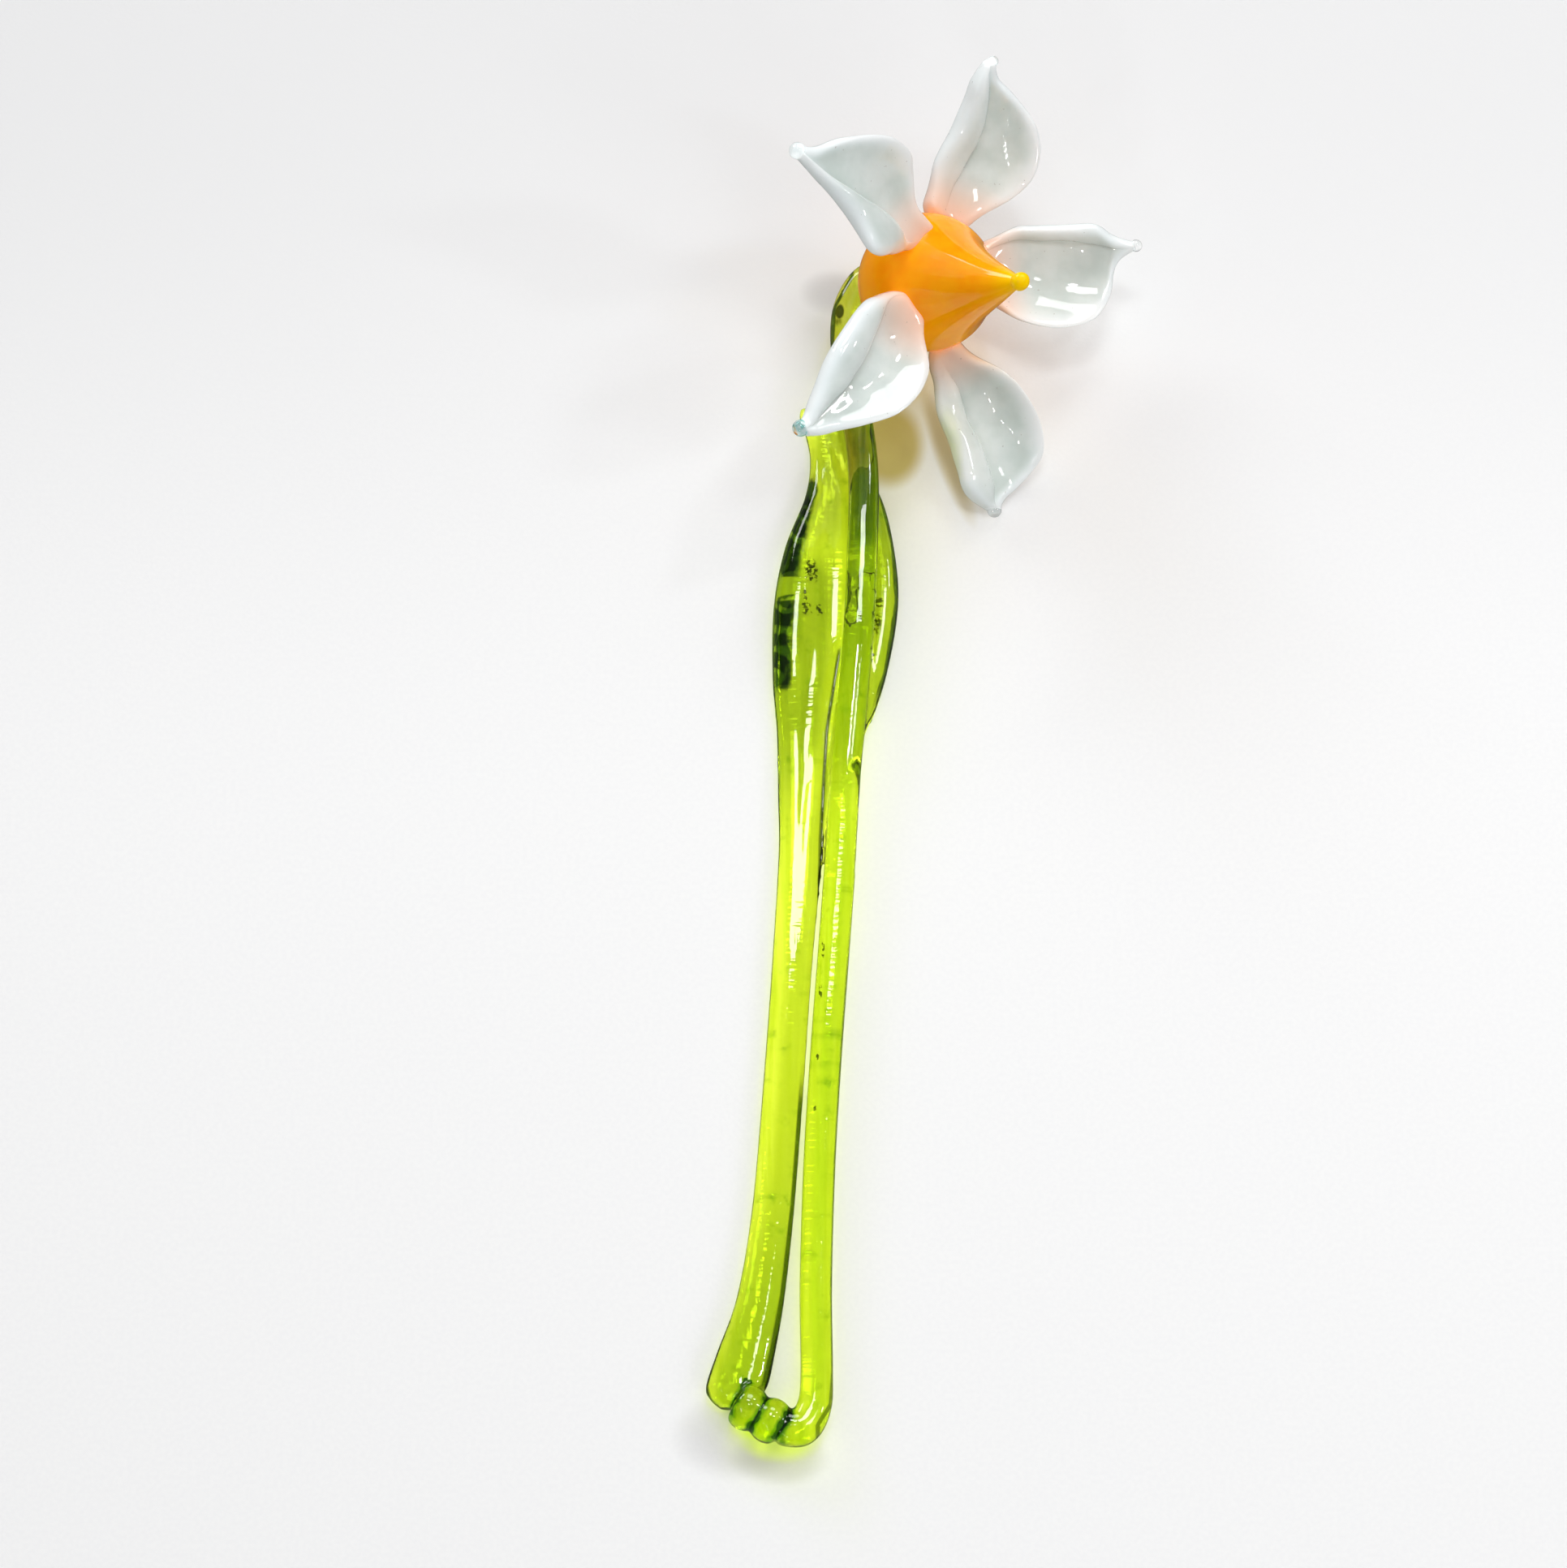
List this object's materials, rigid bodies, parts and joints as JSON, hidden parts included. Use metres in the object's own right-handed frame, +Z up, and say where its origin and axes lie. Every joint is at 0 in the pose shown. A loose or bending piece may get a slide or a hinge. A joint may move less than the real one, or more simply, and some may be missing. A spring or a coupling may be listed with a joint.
{
  "type": "glass narcissus flower",
  "caption": "Lampworked glass narcissus lying on its side: orange drawn-out corona, opal petals with clear tips, and a bent green glass stem crossing over its flattened leaf.",
  "frame": {"origin": "middle of the footprint, on the table", "axes": "+Y along the stem towards the flower, +Z up from the table, +X to the side that the flower turns to"},
  "size_m": [0.0708, 0.22, 0.0502],
  "materials": {
    "orange_glass": "opaque orange glass, fire polished, yellow at the drawn point",
    "opal_glass": "milky opal white glass, fire polished",
    "clear_glass": "clear glass beads, fire polished",
    "green_glass": "transparent yellow-green glass, fire polished, with a few small bubbles and streaks"
  },
  "bodies": {
    "root": {"corona": "orange_glass", "petal_1": "opal_glass", "petal_2": "opal_glass", "petal_3": "opal_glass", "petal_4": "opal_glass", "petal_5": "opal_glass", "petal_bead_1": "clear_glass", "petal_bead_2": "clear_glass", "petal_bead_3": "clear_glass", "petal_bead_4": "clear_glass", "petal_bead_5": "clear_glass", "stem": "green_glass", "leaf": "green_glass", "foot_collar": "green_glass"}
  },
  "joints": []
}
